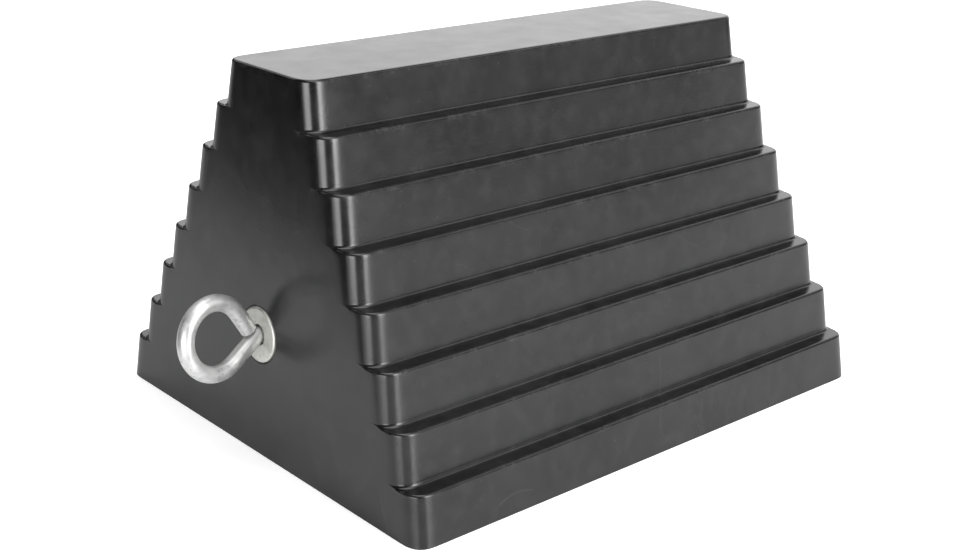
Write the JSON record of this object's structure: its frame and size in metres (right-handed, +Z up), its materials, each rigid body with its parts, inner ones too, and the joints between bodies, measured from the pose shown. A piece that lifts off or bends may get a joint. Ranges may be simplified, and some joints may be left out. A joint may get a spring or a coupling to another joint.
{
  "type": "rubber wheel chock with eye bolt",
  "caption": "Stepped pyramid block of moulded rubber that holds a parked wheel, with a flat top and a zinc-plated eye bolt in one end for a rope or chain.",
  "frame": {"origin": "centre of the rubber body's flat underside", "axes": "+X along the chock's length, away from the eye bolt; +Y across the stepped sides; +Z up"},
  "size_m": [0.2851, 0.2022, 0.1524],
  "materials": {
    "moulded_rubber": "satin moulded black rubber, slightly mottled",
    "zinc_plated_wire": "bright zinc plating on bent wire",
    "washer_steel": "zinc plating, slightly duller and warmer than the wire",
    "nut_steel": "plain zinc-plated steel"
  },
  "bodies": {
    "chock": {"chock_body": "moulded_rubber", "backing_washer": "washer_steel", "captive_nut": "nut_steel"},
    "washer": {"face_washer": "washer_steel"},
    "eye": {"eye_bolt": "zinc_plated_wire"}
  },
  "joints": [
    {"name": "bolt_travel", "type": "slide", "parent": "chock", "child": "washer", "axis": [-0.9986, 0, 0.0524], "range_m": [0, 0.01129]},
    {"name": "bolt_turn", "type": "hinge", "parent": "washer", "child": "eye", "pos_m": [-0.1224, 0, 0.0495], "axis": [-0.9986, 0, 0.0524], "range_deg": [0, 2880]}
  ],
  "couplings": [
    {"joint": "bolt_turn", "follows": "bolt_travel", "rad_per_m": 4452.6}
  ]
}
